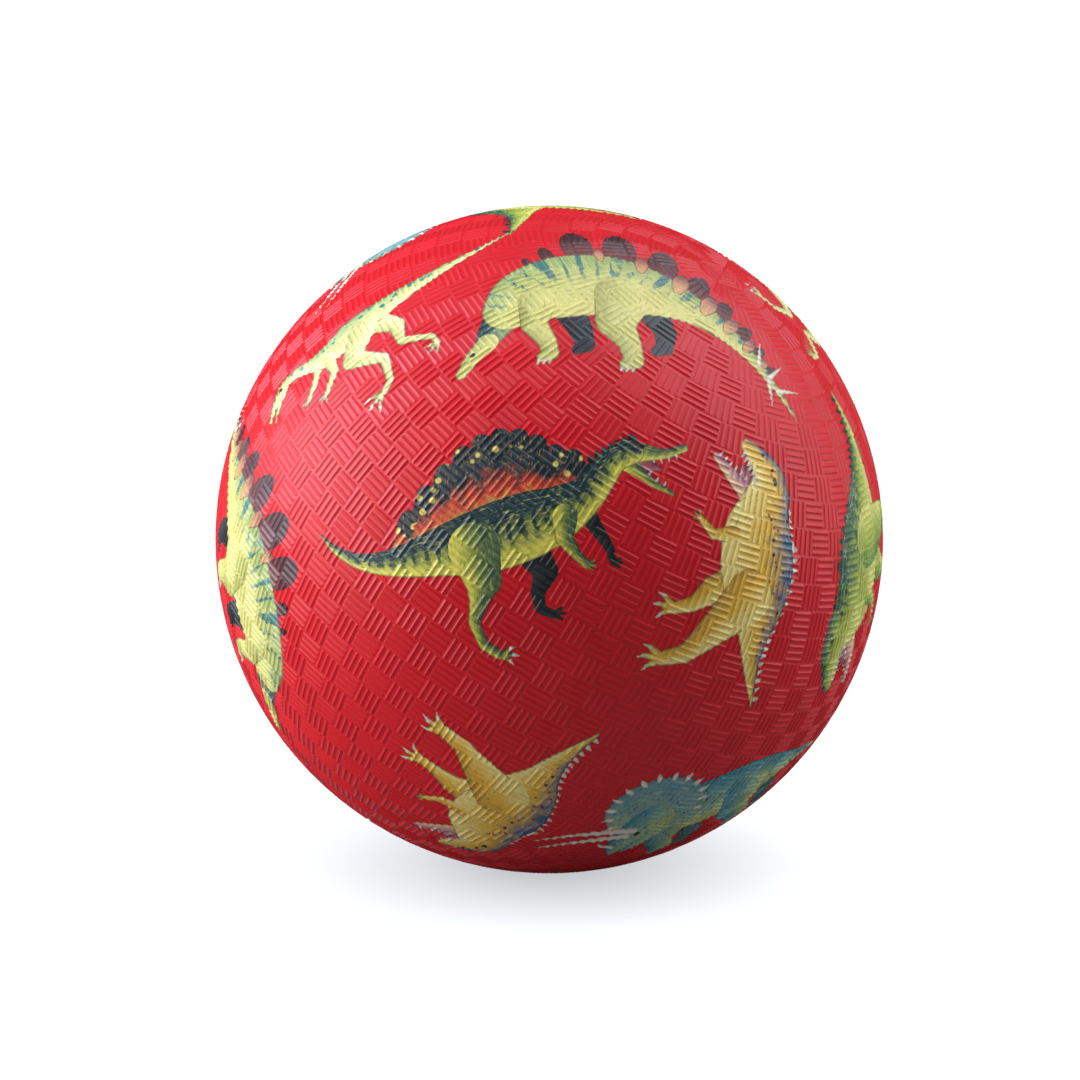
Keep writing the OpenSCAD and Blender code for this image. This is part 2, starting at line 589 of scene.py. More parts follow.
    def pad_mesh(self) -> bpy.types.Mesh:
        """Make the smooth pad: a revolved ring with an edge bead and a lip round the valve's neck.

        Returns:
            The closed mesh.
        """
        level = self.ground
        bead = 0.27 * MM
        beads = np.linspace(0, math.pi, 9)
        neck, edge = self.neck_radius, self.pad_radius
        lip_wide, rim_wide, groove = 1.5 * MM, 1.3 * MM, 0.35 * MM
        lip_start, rim_start = neck + 0.06 * MM, edge - groove
        flat = np.linspace(neck + lip_wide + 0.6 * MM, edge - rim_wide - 0.9 * MM, 5)
        rises = [level + bead * math.sin(a) for a in beads]
        lip = [lip_start + lip_wide * (1 - math.cos(a)) / 2 for a in beads]
        rim = [rim_start - rim_wide * (1 + math.cos(a)) / 2 for a in beads]
        # Distance from the valve's axis, and radius from the ball's centre
        top = [(neck, level - bead), *zip(lip, rises), *((r, level) for r in flat)]
        top += [*zip(rim, rises), (edge - 0.1 * MM, level - bead), (edge, level - bead)]
        base = [(r, self.inside) for r in np.linspace(edge, neck, 6)]
        profile = np.array(top + base)
        height = np.sqrt(profile[:, 1] ** 2 - profile[:, 0] ** 2)
        sides = 160
        angle = np.arange(sides) * 2 * math.pi / sides
        east, down = np.outer(np.cos(angle), profile[:, 0]), np.outer(np.sin(angle), profile[:, 0])
        points = np.stack([east.ravel(), np.tile(height, sides), -down.ravel()], 1)
        count = len(profile)
        row, column = np.meshgrid(np.arange(sides), np.arange(count), indexing="ij")
        after_row, after_column = (row + 1) % sides, (column + 1) % count
        steps = ((row, column), (row, after_column), (after_row, after_column), (after_row, column))
        quads = np.stack([(r * count + c).ravel() for r, c in steps], 1)
        mesh = make_mesh("cover_valve_pad", points, quads)
        mesh.set_sharp_from_angle(angle=CREASE)
        return mesh

    def map_for_bake(self, mesh: bpy.types.Mesh, axis: np.ndarray) -> None:
        """Give a half a flat map: its outside as a large disc, and its hidden faces in a corner.

        Args:
            mesh: The finished half.
            axis: Direction of the half's pole.
        """
        corner = corner_vertices(mesh)
        place = np.zeros(len(mesh.vertices) * 3, np.float32)
        mesh.vertices.foreach_get("co", place)
        place = place.reshape(-1, 3)[corner].astype(float)
        start = np.zeros(len(mesh.polygons), np.int32)
        mesh.polygons.foreach_get("loop_start", start)
        sizes = np.diff(np.append(start, len(corner)))
        radius = np.linalg.norm(place, axis=1)
        outside = np.repeat(np.minimum.reduceat(radius, start) > self.ground - 0.2 * MM, sizes)
        side = np.cross(axis, (0.0, 1.0, 0.0))
        unit = place / radius[:, None]
        angle = np.arccos(np.clip(unit @ axis, -1, 1)) / (math.pi / 2)
        flat = np.stack([unit @ side, unit @ np.cross(axis, side)], 1)
        flat *= (angle / np.maximum(np.linalg.norm(flat, axis=1), 1e-9))[:, None]
        # The outside fills the map, and the hidden faces share a small disc in its corner
        large, small, corner_at = 0.48, 0.07, 0.08
        uv = np.where(outside[:, None], 0.5 + flat * large, corner_at + flat * small)
        write_map(mesh, uv)

    def build(self) -> None:
        """Make the halves and the pad, and dress them."""
        rubber = COVER_RUBBER.build()
        cutter = self.hole_cutter()
        pole = self.directions(np.zeros(1), np.full(1, math.pi / 2))[0]
        for half in Half:
            mesh = self.half_mesh(half)
            piece = place_piece(mesh.name, mesh, "cover")
            self.finish_half(piece, cutter)
            self.map_for_bake(piece.data, pole * half.value)
            piece.data.materials.clear()
            piece.data.materials.append(rubber)
        bpy.data.objects.remove(cutter)
        pad = place_piece("cover_valve_pad", self.pad_mesh(), "cover")
        pad.data.materials.append(rubber)


# The printed figures ---------------------


@dataclass(frozen=True)
class TransferInk:
    """Heat-transfer print ink on rubber: opaque, a little glossier than the rubber, hand-painted look."""

    name: str
    belly: str
    flank: str
    back: str
    outline: str = "#27302B"
    light: str = "#F3F0C4"
    stripe: str | None = None
    stripe_mm: float = 3.4
    stripe_from: float = -0.1
    stripe_bend: float = 7.0
    # Sine level above which a stripe shows: higher makes it thinner
    stripe_level: float = 0.25
    stripe_fade: float = 0.35
    spot: str | None = None
    spot_mm: float = 2.6
    spot_share: float = 0.26
    spot_from: float = -2.0
    # How far up, as a share, the back's colour starts
    back_from: float = 0.9
    # Leave out the outline where a limb grows out of the body
    soft_root: bool = False
    # Shade from the root of a stroke to its tip, and not from the belly to the back
    from_root: bool = False
    # How far the shading wanders between belly and back
    wobble: float = 1.1
    # Strength of the brush marks
    hatch: float = 0.5
    roughness: float = 0.4

    def build(self) -> bpy.types.Material:
        """Make the material. Its patterns are in millimetres of the figure."""
        material, tree, shader = new_material(self.name)
        place = node(tree, "Attribute", attribute_name="ink_place").outputs["Vector"]
        flow = node(tree, "Attribute", attribute_name="ink_flow").outputs["Vector"]
        along, across, edge = node(tree, "SeparateXYZ", {0: flow}).outputs
        run = node(tree, "SeparateXYZ", {0: place}).outputs[2]
        cloud = node(tree, "TexNoise", {"Vector": place, "Scale": 0.3, "Detail": 4.0})
        height = across
        if self.from_root:
            height = node(tree, "Math", {0: run, 1: 2.0, 2: -1.0}, operation="MULTIPLY_ADD")
        # The noise lies round a half, so the tone's limits move up by half of the wobble
        wobbled = node(tree, "Math", {0: cloud, 1: self.wobble, 2: height}, operation="MULTIPLY_ADD")
        low, high = self.wobble / 2 - 1, self.wobble / 2 + 1
        tone = node(tree, "MapRange", {"Value": wobbled, "From Min": low, "From Max": high})
        ramp = node(tree, "ValToRGB", {0: tone})
        stops = ramp.color_ramp.elements
        stops[0].position = 0.12
        stops[0].color = linear(self.belly)
        stops[1].position = self.back_from
        stops[1].color = linear(self.back)
        stops.new(self.back_from * 0.6).color = linear(self.flank)
        colour = ramp.outputs[0]
        coats: list[tuple[bpy.types.Node, str]] = []
        if self.stripe:
            bend = node(tree, "Math", {0: cloud, 1: self.stripe_bend, 2: 0.0}, operation="MULTIPLY_ADD")
            swing = {0: along, 1: 2 * math.pi / self.stripe_mm, 2: bend}
            phase = node(tree, "Math", swing, operation="MULTIPLY_ADD")
            wave = node(tree, "Math", {0: phase}, operation="SINE")
            low, high = self.stripe_level, min(1.0, self.stripe_level + self.stripe_fade)
            band = node(tree, "MapRange", {"Value": wave, "From Min": low, "From Max": high})
            low, high = self.stripe_from, self.stripe_from + self.stripe_fade
            limits = {"From Min": low, "From Max": high, "To Max": 0.9}
            zone = node(tree, "MapRange", {"Value": across} | limits)
            mask = node(tree, "Math", {0: band, 1: zone}, operation="MULTIPLY")
            coats.append((mask, self.stripe))
        if self.spot:
            cells = node(tree, "TexVoronoi", {"Vector": place, "Scale": 1 / self.spot_mm})
            limits = {"From Min": self.spot_share, "From Max": self.spot_share * 0.7}
            dot = node(tree, "MapRange", {"Value": cells.outputs["Distance"]} | limits)
            upper = node(tree, "Math", {0: height, 1: self.spot_from}, operation="GREATER_THAN")
            mask = node(tree, "Math", {0: dot, 1: upper}, operation="MULTIPLY")
            coats.append((mask, self.spot))
        stretch = ((along, 0.55), (across, 5.0), (edge, 1.2))
        drawn = [node(tree, "Math", {0: way, 1: by}, operation="MULTIPLY") for way, by in stretch]
        grain = node(tree, "CombineXYZ", dict(enumerate(drawn)))
        marks = node(tree, "TexNoise", {"Vector": grain, "Scale": 1.3, "Detail": 4.0})
        for low, high, tint in ((0.56, 0.7, self.light), (0.44, 0.3, self.outline)):
            limits = {"From Min": low, "From Max": high, "To Max": self.hatch}
            coats.append((node(tree, "MapRange", {"Value": marks} | limits), tint))
        for mask, tint in coats:
            layers = {0: mask, 6: colour, 7: linear(tint)}
            colour = node(tree, "Mix", layers, data_type="RGBA").outputs[2]
        limits = {"From Min": 0.05, "From Max": 0.5, "To Min": 0.25}
        inside = node(tree, "MapRange", {"Value": edge} | limits)
        if self.soft_root:
            limits = {"From Min": 0.12, "From Max": 0.38, "To Min": 1.0, "To Max": 0.0}
            root = node(tree, "MapRange", {"Value": run} | limits)
            inside = node(tree, "Math", {0: inside, 1: root}, operation="MAXIMUM")
        layers = {0: inside, 6: linear(self.outline), 7: colour}
        colour = node(tree, "Mix", layers, data_type="RGBA").outputs[2]
        found = {"Base Color": colour, "Roughness": self.roughness, "IOR": RUBBER_IOR}
        fill_inputs(shader, found)
        return material


@dataclass(frozen=True)
class Stroke:
    """A brush stroke: a smooth line of (x, y, half-width) points, in millimetres of the figure."""

    points: tuple[tuple[float, float, float], ...]
    steps: int = 5
    # Distances beyond this from the stroke's box are only estimated
    margin: float = 2.0

    @cached_property
    def line(self) -> np.ndarray:
        """Points along the stroke, (n, 3), on a Catmull-Rom curve."""
        given = np.array(self.points)
        ends = np.vstack([2 * given[0] - given[1], given, 2 * given[-1] - given[-2]])
        t = np.linspace(0, 1, self.steps, endpoint=False)[:, None]
        parts = [
            (2 * b + (c - a) * t + (2 * a - 5 * b + 4 * c - d) * t**2 + (3 * b - a - 3 * c + d) * t**3) / 2
            for a, b, c, d in zip(ends, ends[1:], ends[2:], ends[3:])
        ]
        line = np.vstack([*parts, given[-1:]])
        line[:, 2] = np.maximum(line[:, 2], SHARP)
        return line

    @cached_property
    def box(self) -> tuple[np.ndarray, np.ndarray]:
        """Lowest and highest corner of the stroke."""
        line = self.line
        return (line[:, :2] - line[:, 2:]).min(0), (line[:, :2] + line[:, 2:]).max(0)

    def edge_at(self, share: float, side: float = 1.0) -> tuple[np.ndarray, np.ndarray]:
        """Find a place on the outline.

        Args:
            share: How far along the stroke, from 0 to 1.
            side: 1 for the left hand side along the stroke, -1 for the right.

        Returns:
            The place and the direction out of the stroke there.
        """
        line = self.line
        at = share * (len(line) - 1)
        low = min(int(at), len(line) - 2)
        here = line[low] + (line[low + 1] - line[low]) * (at - low)
        ahead = line[low + 1, :2] - line[low, :2]
        out = np.array([-ahead[1], ahead[0]]) / np.linalg.norm(ahead) * side
        return here[:2] + out * here[2], out

    def measure(self, xy: np.ndarray) -> np.ndarray:
        """Measure points against the stroke.

        Args:
            xy: Points, (n, 2).

        Returns:
            Distance outside the outline, length along, share across from -1 to 1, and share of
            the length, (n, 4).
        """
        low, high = self.box
        beyond = np.linalg.norm(np.maximum(0, np.maximum(low - xy, xy - high)), axis=1)
        found = np.zeros((len(xy), 4))
        found[:, 0] = beyond
        near = beyond < self.margin
        if near.any():
            found[near] = self.measure_near(xy[near])
        return found

    def measure_near(self, xy: np.ndarray) -> np.ndarray:
        """Measure points near the stroke, as measure does."""
        line = self.line
        start, step = line[:-1], np.diff(line, axis=0)
        length = np.maximum(np.linalg.norm(step[:, :2], axis=1), 1e-6)
        passed = np.concatenate([[0], np.cumsum(length)])
        apart = xy[:, None, :] - start[None, :, :2]
        t = np.clip((apart * step[:, :2]).sum(-1) / length**2, 0, 1)
        gap = apart - t[..., None] * step[:, :2]
        width = start[:, 2] + t * step[:, 2]
        outside = np.linalg.norm(gap, axis=2) - width
        best = outside.argmin(1)
        pick = np.arange(len(xy)), best
        ahead = step[best, :2] / length[best, None]
        across = (ahead[:, 0] * gap[pick][:, 1] - ahead[:, 1] * gap[pick][:, 0]) / width[pick]
        along = passed[best] + t[pick] * length[best]
        return np.stack([outside[pick], along, across, along / passed[-1]], 1)


@dataclass(frozen=True)
class Region:
    """Strokes of one ink. Their union is filled."""

    ink: TransferInk
    strokes: tuple[Stroke, ...]

    def measure(self, xy: np.ndarray) -> np.ndarray:
        """Measure points against the nearest stroke, as Stroke.measure does."""
        found = np.stack([stroke.measure(xy) for stroke in self.strokes])
        best = found[..., 0].argmin(0)
        return found[best, np.arange(len(xy))]


def brush(*points: tuple[float, float, float]) -> Stroke:
    """A stroke through (x, y, half-width) points."""
    return Stroke(tuple(points))


def limb(*points: tuple[float, float, float]) -> Stroke:
    """A jointed stroke: straight from joint to joint, given as (x, y, half-width)."""
    return Stroke(tuple(points), steps=1)


def spike(start: Sequence[float], end: Sequence[float], width: float = 0.5) -> Stroke:
    """A straight stroke that runs out to a sharp end."""
    return limb((*start, width), (*end, SHARP))


def blade(root: np.ndarray, tip: np.ndarray, width: float, shape: Sequence[tuple]) -> Stroke:
    """A stroke from root to tip; its shape is shares of the length with shares of the width."""
    return brush(*[(*(root + (tip - root) * t), width * w) for t, w in shape])


def leaf(root: np.ndarray, tip: np.ndarray, width: float, blunt: float) -> Stroke:
    """A leaf-shaped stroke from root to tip, widest below its middle."""
    return blade(root, tip, width, ((0.0, 0.75), (0.4, 1.0), (0.75, 0.6), (1.0, blunt)))


def plate(root: np.ndarray, tip: np.ndarray, width: float) -> Stroke:
    """An oval back plate with a short point."""
    shape = ((0.0, 0.6), (0.4, 1.0), (0.72, 0.86), (0.9, 0.45), (1.0, 0.14))
    return blade(root, tip, width, shape)


SAIL_BODY = TransferInk(
    "print_sail_back_hide", "#E6DE5E", "#98A548", "#1D4347", stripe="#1B3A3E", stripe_mm=3.2,
    stripe_from=-0.55, stripe_level=0.15, back_from=0.7, light="#EFE87C"
)
SAIL_LIMB = replace(SAIL_BODY, name="print_sail_back_limb", back="#4E6A45", stripe=None, soft_root=True)
SAIL_WEB = TransferInk(
    "print_sail_web", "#B7A94C", "#DC4A2C", "#1F3038", spot="#EBD766", spot_mm=3.6, spot_share=0.27,
    spot_from=0.1, back_from=0.66, from_root=True, light="#E0B45A", hatch=0.45, outline="#141C20"
)
PLATE_BODY = TransferInk(
    "print_plate_back_hide", "#E2DB80", "#D2D27A", "#A2B46C", stripe="#2A7474", stripe_mm=3.6,
    stripe_from=0.0, stripe_bend=2.6, stripe_level=0.52, light="#F8F2B4", hatch=0.34
)
PLATE_LIMB = replace(PLATE_BODY, name="print_plate_back_limb", back="#B3B35E", stripe=None, soft_root=True)
PLATE_NECK = replace(
    PLATE_BODY, name="print_plate_back_neck", belly="#8FA06A", flank="#47706A", back="#274A4E", stripe=None
)
BACK_PLATE = TransferInk(
    "print_back_plate", "#7C3A34", "#52262A", "#3A1A22", from_root=True, outline="#241015", light="#A86A5E",
    hatch=0.35
)
NEAR_PLATE = replace(BACK_PLATE, name="print_near_plate", belly="#DDB070", flank="#C08468", back="#7C4440")
RUNNER_BODY = TransferInk(
    "print_runner_hide", "#F2EEB0", "#DEDC8A", "#9CBC78", spot="#24877E", spot_mm=2.6, spot_share=0.34,
    spot_from=0.0, hatch=0.4
)
RUNNER_LIMB = replace(RUNNER_BODY, name="print_runner_limb", back="#C6C67A", spot=None, soft_root=True)
HUNTER_BODY = TransferInk(
    "print_hunter_hide", "#FBE88C", "#EFBE36", "#1C5788", spot="#6A1F2A", spot_mm=2.6, spot_share=0.23,
    spot_from=0.05, back_from=1.0, light="#FFF0B0", hatch=0.36
)
HUNTER_JAW = TransferInk(
    "print_hunter_jaw", "#F6DCA0", "#DDA49A", "#A8688A", light="#F8E4D8", hatch=0.35, outline="#6A3A34"
)
HUNTER_LIMB = replace(HUNTER_BODY, name="print_hunter_limb", back="#C99A38", spot=None, soft_root=True)
GREEN_HUNTER_BODY = TransferInk(
    "print_green_hunter_hide", "#D8DC74", "#A6B83E", "#2E6A48", stripe="#20503E", stripe_mm=3.0,
    stripe_from=0.1
)
GREEN_HUNTER_LIMB = replace(
    GREEN_HUNTER_BODY, name="print_green_hunter_limb", back="#6E9A44", stripe=None, soft_root=True
)
HORNED_BODY = TransferInk(
    "print_horned_hide", "#C9D284", "#82B8A2", "#3F8F9E", spot="#3F7CC0", spot_mm=2.0, spot_share=0.24,
    light="#C8E0B8", hatch=0.36
)
HORNED_FRILL = replace(
    HORNED_BODY, name="print_horned_frill", belly="#A6BE8C", flank="#86AE9C", back="#6A9EA6"
)
HORNED_LIMB = replace(HORNED_BODY, name="print_horned_limb", belly="#C0CC80", soft_root=True)
HORNED_FAR = replace(
    HORNED_LIMB, name="print_horned_far_limb", belly="#4A7472", flank="#3A646A", back="#2C525C", spot=None
)
FAR_LIMB = TransferInk("print_far_limb", "#2A3436", "#1B2326", "#12181B", light="#4E5C5A", hatch=0.3)
BONE = TransferInk("print_bone", "#F8F6EC", "#F0EBD6", "#E2DCC0", outline="#B0A888", hatch=0.12)
MOUTH = TransferInk(
    "print_mouth", "#D08A96", "#A8485A", "#702034", outline="#4A1520", light="#E8B4B8", hatch=0.35
)
EYE = TransferInk("print_eye", "#15120F", "#15120F", "#2A1C10", light="#F2E8A0", hatch=0.2)


@dataclass(frozen=True)
class Figure:
    """A printed animal in side view: x forward, y up, in millimetres. Regions are listed top first."""

    hide: TransferInk
    limb_hide: TransferInk

    def regions(self) -> list[Region]:
        """The inked regions of the figure."""
        raise NotImplementedError

    def toe_tips(
        self, foot: tuple[float, float], reach: float, aim_deg: float
    ) -> list[tuple[float, float]]:
        """Where the three spread toes of a foot end; they point along aim_deg from straight ahead."""
        x, y = foot
        tips = []
        for spread, share in ((36.0, 0.93), (4.0, 1.0), (-32.0, 0.86)):
            angle = math.radians(aim_deg + spread)
            tips.append((x + reach * share * math.cos(angle), y + reach * share * math.sin(angle)))
        return tips

    def toes(
        self, foot: tuple[float, float], reach: float = 3.4, width: float = 0.8, aim_deg: float = 0.0
    ) -> tuple[Stroke, ...]:
        """Three spread toes at a foot."""
        return tuple(
            limb((*foot, width), (*tip, width * 0.5))
            for tip in self.toe_tips(foot, reach, aim_deg)
        )

    def claws(
        self, foot: tuple[float, float], reach: float = 3.4, aim_deg: float = 0.0
    ) -> tuple[Stroke, ...]:
        """The claws at the ends of the toes."""
        near = self.toe_tips(foot, reach * 0.94, aim_deg)
        far = self.toe_tips(foot, reach * 1.38, aim_deg - 6.0)
        return tuple(spike(start, end) for start, end in zip(near, far))


@dataclass(frozen=True)
class SailBack(Figure):
    """Long-snouted swimmer with a tall scalloped sail."""

    hide: TransferInk = SAIL_BODY
    limb_hide: TransferInk = SAIL_LIMB
    spines: int = 10
    frill_points: int = 9

    def regions(self) -> list[Region]:
        """The inked regions of the figure."""
        trunk = brush(
            (-50, -1.5, 0.2), (-44, -6, 1.2), (-36, -8.8, 2.2), (-26, -8.6, 3.8), (-14, -5.8, 6.2),
            (-3, -2.8, 8.2), (7, 0.8, 8.4), (15, 4.2, 6.8), (21.5, 8.6, 4.9), (25.6, 13.8, 4.0),
            (29, 18.4, 3.5), (33.4, 20.6, 3.2)
        )
        upper_jaw = brush((32, 20.4, 3.3), (37, 20.6, 2.3), (42, 20.6, 1.4), (47.4, 22.6, 1.1))
        lower_jaw = brush((31.5, 18.4, 2.6), (36, 15.0, 1.5), (40, 12.2, 1.0), (44.4, 10.2, 0.6))
        web, frills = [], []
        for number in range(self.spines):
            share = number / (self.spines - 1)
            root = np.array([-24 + 40 * share, -7.6 + 14 * share])
            height = 4.5 + 18.5 * math.sin(math.pi * min(0.86, 0.1 + 0.8 * share)) ** 1.1
            tip = root + np.array([1.0 + 1.5 * share, height])
            web.append(brush((*root, 4.0), (*(root * 0.5 + tip * 0.5), 3.6), (*tip, 2.6)))
        for share in np.linspace(0, 1, self.frill_points).tolist():
            root = np.array([20.5 + 13.5 * share, 12 + 11 * share**0.8])
            frills.append(leaf(root, root + np.array([-1.2, 3.4 - 1.4 * share]), 1.2, 0.5))
        upper_teeth = ((39, 19.0), (41, 19.2), (43, 19.6), (45, 20.4))
        lower_teeth = ((38, 15.0), (40, 13.4), (42, 12.4))
        teeth = [spike((x, y), (x + 0.4, y - 1.1), 0.42) for x, y in upper_teeth]
        teeth += [spike((x, y), (x + 0.5, y + 1.0), 0.4) for x, y in lower_teeth]
        near_leg = limb(
            (-5.5, -5, 6.8), (-3.4, -12.6, 4.8), (-4.6, -18.6, 2.4), (-5.8, -23.6, 1.5), (-3.4, -29.2, 1.4),
            (0.4, -31.8, 1.3)
        )
        near_arm = limb((17.0, 3.5, 3.2), (16.8, -1.8, 2.3), (19.6, -5.6, 1.4), (22.4, -8.4, 1.1))
        far_leg = limb(
            (8, -4, 4.8), (12.4, -10.2, 3.1), (10.4, -15.4, 1.8), (11.0, -19.6, 1.4), (14, -21, 1.2)
        )
        far_arm = limb((22, 5.0, 2.4), (25.2, 0.2, 1.7), (28.2, -4.2, 1.2), (29.2, -7.8, 0.9))
        near_toes = self.toes((0.8, -31.8))
        near_fingers = self.toes((22.4, -8.6), 2.6, 0.6)
        far_toes = (*self.toes((14.2, -21), 3.0, 0.7), *self.toes((29.2, -8), 2.4, 0.55))
        return [
            Region(EYE, (limb((35.4, 22.0, 0.75), (36.1, 22.0, 0.6)),)),
            Region(BONE, (*teeth, *self.claws((0.8, -31.8)))),
            Region(self.limb_hide, (near_leg, *near_toes)),
            Region(self.limb_hide, (near_arm, *near_fingers)),
            Region(self.hide, (trunk,)),
            Region(self.limb_hide, (upper_jaw, lower_jaw)),
            Region(MOUTH, (brush((33, 18.6, 2.0), (37.5, 17.4, 1.6), (41, 16.6, 0.6)),)),
            Region(SAIL_WEB, tuple(web)),
            Region(FAR_LIMB, (far_leg, far_arm, *far_toes, *frills))
        ]


@dataclass(frozen=True)
class PlateBack(Figure):
    """Heavy grazer with two rows of back plates and a spiked tail."""

    hide: TransferInk = PLATE_BODY
    limb_hide: TransferInk = PLATE_LIMB

    def plate_row(
        self, trunk: Stroke, sizes: dict[float, float], sunk: float, sunk_share: float, tall: float
    ) -> tuple[Stroke, ...]:
        """One row of back plates.

        Args:
            trunk: The stroke that they stand on.
            sizes: Size of each plate by its share of the trunk's length.
            sunk: How deep each starts in the trunk.
            sunk_share: How much deeper it starts, as a share of its size.
            tall: How far it stands out, as a share of its size.

        Returns:
            The plates.
        """
        row = []
        for share, size in sizes.items():
            edge, out = trunk.edge_at(share)
            root = edge - out * (sunk + sunk_share * size)
            row.append(plate(root, edge + out * size * tall, size * 0.36))
        return tuple(row)

    def regions(self) -> list[Region]:
        """The inked regions of the figure."""
        trunk = brush(
            (-60, -25, 0.3), (-52, -18, 1.4), (-43, -10.6, 2.6), (-32, -3.8, 4.8), (-20, 1.0, 8.4),
            (-7.5, 2.8, 11.6), (5, 1.8, 12.0), (15, -1.6, 9.8), (20.6, -6.4, 6.6)
        )
        neck = brush((20.0, -6.0, 5.4), (24.6, -12.2, 4.0), (27.4, -17.0, 2.6))
        head = brush((26.4, -16.0, 2.7), (30.4, -19.8, 2.2), (34.0, -24.2, 1.5))
        # Sizes of the plates by their share of the trunk's length
        far_sizes = {0.17: 3.2, 0.225: 4.4, 0.285: 5.8, 0.355: 7.4, 0.43: 9.4, 0.515: 11.6}
        far_sizes |= {0.605: 12.4, 0.695: 11.6, 0.765: 5.2, 0.815: 3.2}
        near_sizes = {0.195: 3.4, 0.255: 4.6, 0.32: 5.6, 0.39: 6.6, 0.47: 6.6, 0.56: 5.4, 0.65: 4.2}
        far_plates = self.plate_row(trunk, far_sizes, 2.0, 0.0, 1.0)
        near_plates = self.plate_row(trunk, near_sizes, 0.0, 0.5, 0.7)
        spikes = tuple(
            spike(start, end, 0.8)
            for start, end in (
                ((-47, -13), (-48, -5)), ((-50, -16.4), (-55, -9.5)), ((-53, -19), (-61, -15)),
                ((-50, -17.6), (-51, -25))
            )
        )
        near_fore = limb(
            (13, -4.6, 5.2), (14.4, -12, 3.5), (11.4, -17.8, 2.5), (10.8, -21.4, 2.3), (12.8, -22.6, 1.6)
        )
        near_hind = limb(
            (-9, -2, 7.6), (-6.4, -11.4, 5.4), (-9.6, -18, 3.3), (-10.6, -23, 2.7), (-8.2, -24.6, 1.7)
        )
        far_fore = limb((6, -6, 4.6), (3.0, -13.6, 3.4), (1.8, -19.0, 2.5), (3.8, -20.6, 1.6))
        far_hind = limb((-15.6, -5, 5.0), (-19.4, -12.4, 3.2), (-19, -17.8, 2.3), (-16.6, -19.4, 1.5))
        nails = tuple(
            limb((x + step, y, 0.5), (x + step + 0.5, y - 1.1, 0.3))
            for x, y in ((10.8, -23.4), (-10.4, -25.4))
            for step in (0.0, 1.5, 3.0)
        )
        return [
            Region(EYE, (limb((30.4, -19.0, 0.6), (30.8, -19.2, 0.5)),)),
            Region(BONE, (*spikes, *nails)),
            Region(self.limb_hide, (near_fore,)),
            Region(self.limb_hide, (near_hind,)),
            Region(NEAR_PLATE, near_plates),
            Region(self.hide, (trunk,)),
            Region(self.limb_hide, (head,)),
            Region(PLATE_NECK, (neck,)),
            Region(BACK_PLATE, far_plates),
            Region(FAR_LIMB, (far_fore, far_hind))
        ]


@dataclass(frozen=True)
class Runner(Figure):
    """Slim two-legged sprinter with a whip tail."""

    hide: TransferInk = RUNNER_BODY
    limb_hide: TransferInk = RUNNER_LIMB

    def regions(self) -> list[Region]:
        """The inked regions of the figure."""
        trunk = brush(
            (-50, 15, 0.2), (-38, 7.6, 0.9), (-24, 3.2, 2.1), (-11, 1.2, 3.7), (0, 0.2, 5.0),
            (8, -0.6, 4.3), (14, 1.6, 2.6), (19.4, 4.8, 1.8), (23.6, 5.2, 2.3), (27.6, 3.0, 1.6),
            (31.6, -0.4, 0.7)
        )
        jaw = limb((24.2, 3.4, 1.5), (27.6, 0.2, 0.8), (30.2, -2.8, 0.35))
        near_leg = limb(
            (-3, -1.6, 4.6), (3.2, -9.6, 3.0), (-4.4, -16.6, 1.5), (-3.0, -24, 1.1), (0.4, -26, 0.9)
        )
        far_leg = limb(
            (-5.4, -1.6, 3.8), (-11, -8.6, 2.4), (-10.2, -15, 1.3), (-17.4, -19, 1.0), (-18, -21.6, 0.8)
        )
        near_arm = limb((8.6, -2.2, 2.0), (8.6, -8.4, 1.3), (13.0, -12.4, 0.9))
        far_arm = limb((11.4, -1.2, 1.6), (15, -6.2, 1.1), (18.4, -9.0, 0.75))
        feet = (*self.toes((0.6, -26), 4.4, 0.7, -18.0), *self.toes((-18.2, -21.8), 4.0, 0.6, -30.0))
        hands = (*self.toes((13.2, -12.6), 3.0, 0.45, -30.0), *self.toes((18.6, -9.2), 2.6, 0.4, -20.0))
        return [
            Region(EYE, (limb((24.8, 5.6, 0.6), (25.3, 5.5, 0.5)),)),
            Region(BONE, self.claws((0.6, -26), 4.4, -18.0)),
            Region(self.limb_hide, (near_leg, *feet[:3])),
            Region(self.limb_hide, (near_arm, *hands[:3])),
            Region(self.hide, (trunk,)),
            Region(self.limb_hide, (jaw,)),
            Region(MOUTH, (limb((25.4, 2.8, 1.2), (29, -0.8, 0.5)),)),
            Region(self.limb_hide, (far_leg, far_arm, *feet[3:], *hands[3:]))
        ]


